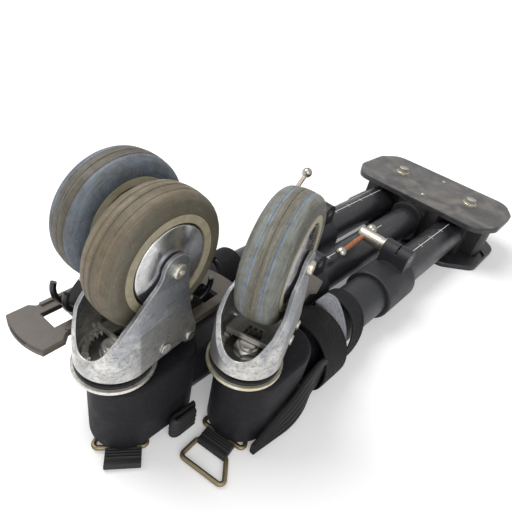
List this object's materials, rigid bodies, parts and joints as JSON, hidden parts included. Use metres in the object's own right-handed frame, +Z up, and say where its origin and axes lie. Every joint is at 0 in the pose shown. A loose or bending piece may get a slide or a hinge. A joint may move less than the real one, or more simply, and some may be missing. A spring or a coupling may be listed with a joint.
{
  "type": "tripod dolly",
  "caption": "Folding tripod dolly lying upside down: telescopic legs on a hub, each with a screw clamp, foot seat and braked swivel caster.",
  "frame": {"origin": "on the floor under the middle of the hub, at the level of its wide plate's outer face", "axes": "+X from the casters to the hub, +Y towards the left leg, +Z up as it lies in the picture"},
  "size_m": [0.6784, 0.225, 0.208],
  "materials": {
    "plate_paint": "worn satin",
    "black_paint": "satin",
    "black_plastic": "matt",
    "plated_steel": "bright plated",
    "zinc_plate": "worn zinc",
    "grey_rubber": "scuffed",
    "grey_plastic": "matt",
    "pedal_plastic": "matt",
    "bronzed_wire": "dull",
    "black_rubber": "ribbed",
    "black_webbing": "woven"
  },
  "bodies": {
    "hub": {"hub_top_plate": "plate_paint", "hub_bottom_plate": "plate_paint", "hub_fasteners": "plated_steel", "middle_lug": "black_paint", "middle_inner_tube": "black_paint"},
    "left_leg": {"left_lug": "black_paint", "left_inner_tube": "black_paint"},
    "right_leg": {"right_lug": "black_paint", "right_inner_tube": "black_paint"},
    "left_slider": {"left_outer_tube": "black_paint", "left_clamp_collar": "black_plastic", "left_foot_casting": "black_paint", "left_swivel_bearing": "zinc_plate", "left_kingpin_set": "plated_steel", "left_webbing": "black_webbing"},
    "left_screw": {"left_clamp_screw": "plated_steel"},
    "left_bar": {"left_tommy_bar": "plated_steel"},
    "left_caster": {"left_fork": "zinc_plate", "left_axle_set": "plated_steel", "left_brake_plate": "plated_steel"},
    "left_wheel": {"left_tyre": "grey_rubber", "left_wheel_core": "grey_plastic"},
    "left_pedal_body": {"left_pedal": "pedal_plastic"},
    "left_ring": {"left_anchor_ring": "bronzed_wire"},
    "left_hook": {"left_hook_link": "black_rubber"},
    "middle_slider": {"middle_outer_tube": "black_paint", "middle_clamp_collar": "black_plastic", "middle_foot_casting": "black_paint", "middle_swivel_bearing": "zinc_plate", "middle_kingpin_set": "plated_steel", "middle_strap": "black_rubber"},
    "middle_screw": {"middle_clamp_screw": "plated_steel"},
    "middle_bar": {"middle_tommy_bar": "plated_steel"},
    "middle_caster": {"middle_fork": "zinc_plate", "middle_axle_set": "plated_steel", "middle_brake_plate": "plated_steel"},
    "middle_wheel": {"middle_tyre": "grey_rubber", "middle_wheel_core": "grey_plastic"},
    "middle_pedal_body": {"middle_pedal": "pedal_plastic"},
    "middle_ring": {"middle_anchor_ring": "bronzed_wire"},
    "middle_hook": {"middle_hook_link": "black_rubber"},
    "right_slider": {"right_outer_tube": "black_paint", "right_clamp_collar": "black_plastic", "right_foot_casting": "black_paint", "right_swivel_bearing": "zinc_plate", "right_kingpin_set": "plated_steel", "right_strap": "black_rubber", "right_webbing": "black_webbing"},
    "right_screw": {"right_clamp_screw": "plated_steel"},
    "right_bar": {"right_tommy_bar": "plated_steel"},
    "right_caster": {"right_fork": "zinc_plate", "right_axle_set": "plated_steel", "right_brake_plate": "plated_steel"},
    "right_wheel": {"right_tyre": "grey_rubber", "right_wheel_core": "grey_plastic"},
    "right_pedal_body": {"right_pedal": "pedal_plastic"},
    "right_ring": {"right_anchor_ring": "bronzed_wire"},
    "right_hook": {"right_hook_link": "black_rubber"}
  },
  "joints": [
    {"name": "left_leg_swing", "type": "hinge", "parent": "hub", "child": "left_leg", "pos_m": [0, 0.0564, 0.034], "axis": [0, 0, -1], "range_deg": [0, 120]},
    {"name": "right_leg_swing", "type": "hinge", "parent": "hub", "child": "right_leg", "pos_m": [0, -0.0564, 0.034], "axis": [0, 0, 1], "range_deg": [0, 120]},
    {"name": "left_leg_extend", "type": "slide", "parent": "left_leg", "child": "left_slider", "axis": [-1, 0, 0], "range_m": [-0.007, 0.022]},
    {"name": "left_screw_turn", "type": "hinge", "parent": "left_slider", "child": "left_screw", "pos_m": [-0.2288, 0.1064, 0.0735], "axis": [0, 1, 0], "range_deg": [-180, 180]},
    {"name": "left_bar_slide", "type": "slide", "parent": "left_screw", "child": "left_bar", "axis": [0.6428, 0, 0.766], "range_m": [-0.018, 0.018]},
    {"name": "left_caster_swivel", "type": "hinge", "parent": "left_slider", "child": "left_caster", "pos_m": [-0.4855, 0.0564, 0.0865], "axis": [0, 0, 1], "range_deg": [-175, 0]},
    {"name": "left_wheel_spin", "type": "hinge", "parent": "left_caster", "child": "left_wheel", "pos_m": [-0.51842, 0.0541, 0.158], "axis": [0.0698, -0.9976, 0], "continuous": true},
    {"name": "left_pedal_press", "type": "hinge", "parent": "left_caster", "child": "left_pedal_body", "pos_m": [-0.53538, 0.05291, 0.088], "axis": [-0.0698, 0.9976, 0], "range_deg": [0, 12]},
    {"name": "left_ring_swing", "type": "hinge", "parent": "left_slider", "child": "left_ring", "pos_m": [-0.4815, 0.0534, 0.0035], "axis": [0, -1, 0], "range_deg": [0, 100]},
    {"name": "left_link_swing", "type": "hinge", "parent": "left_ring", "child": "left_hook", "pos_m": [-0.5015, 0.0534, 0.0035], "axis": [0, -1, 0], "range_deg": [0, 90]},
    {"name": "middle_leg_extend", "type": "slide", "parent": "hub", "child": "middle_slider", "axis": [-1, 0, 0], "range_m": [-0.008, 0.007]},
    {"name": "middle_screw_turn", "type": "hinge", "parent": "middle_slider", "child": "middle_screw", "pos_m": [-0.3268, 0.05, 0.0735], "axis": [0, 1, 0], "range_deg": [-12, 11]},
    {"name": "middle_bar_slide", "type": "slide", "parent": "middle_screw", "child": "middle_bar", "axis": [0.9903, 0, 0.1392], "range_m": [-0.018, 0.001]},
    {"name": "middle_caster_swivel", "type": "hinge", "parent": "middle_slider", "child": "middle_caster", "pos_m": [-0.5592, 0, 0.0865], "axis": [0, 0, 1], "range_deg": [-1.5, 0.6]},
    {"name": "middle_wheel_spin", "type": "hinge", "parent": "middle_caster", "child": "middle_wheel", "pos_m": [-0.52633, 0.00288, 0.158], "axis": [-0.0872, 0.9962, 0], "continuous": true},
    {"name": "middle_pedal_press", "type": "hinge", "parent": "middle_caster", "child": "middle_pedal_body", "pos_m": [-0.50939, 0.00436, 0.088], "axis": [0.0872, -0.9962, 0], "range_deg": [0, 12]},
    {"name": "middle_ring_swing", "type": "hinge", "parent": "middle_slider", "child": "middle_ring", "pos_m": [-0.5552, -0.003, 0.0035], "axis": [0.788, -0.6157, 0], "range_deg": [0, 100]},
    {"name": "middle_link_swing", "type": "hinge", "parent": "middle_ring", "child": "middle_hook", "pos_m": [-0.56751, -0.01876, 0.0035], "axis": [0.788, -0.6157, 0], "range_deg": [0, 90]},
    {"name": "right_leg_extend", "type": "slide", "parent": "right_leg", "child": "right_slider", "axis": [-1, 0, 0], "range_m": [-0.07, 0.008]},
    {"name": "right_screw_turn", "type": "hinge", "parent": "right_slider", "child": "right_screw", "pos_m": [-0.2288, -0.0064, 0.0735], "axis": [0, 1, 0], "range_deg": [-8, 22]},
    {"name": "right_bar_slide", "type": "slide", "parent": "right_screw", "child": "right_bar", "axis": [0.9903, 0, 0.1392], "range_m": [-0.0005, 0.036]},
    {"name": "right_caster_swivel", "type": "hinge", "parent": "right_slider", "child": "right_caster", "pos_m": [-0.4855, -0.0564, 0.0865], "axis": [0, 0, 1], "range_deg": [-190, 2]},
    {"name": "right_wheel_spin", "type": "hinge", "parent": "right_caster", "child": "right_wheel", "pos_m": [-0.45411, -0.0462, 0.158], "axis": [-0.309, 0.9511, 0], "continuous": true},
    {"name": "right_pedal_press", "type": "hinge", "parent": "right_caster", "child": "right_pedal_body", "pos_m": [-0.43795, -0.04095, 0.088], "axis": [0.309, -0.9511, 0], "range_deg": [0, 12]},
    {"name": "right_ring_swing", "type": "hinge", "parent": "right_slider", "child": "right_ring", "pos_m": [-0.4815, -0.0594, 0.0035], "axis": [0.1908, -0.9816, 0], "range_deg": [0, 100]},
    {"name": "right_link_swing", "type": "hinge", "parent": "right_ring", "child": "right_hook", "pos_m": [-0.50113, -0.06322, 0.0035], "axis": [0.1908, -0.9816, 0], "range_deg": [0, 90]}
  ]
}
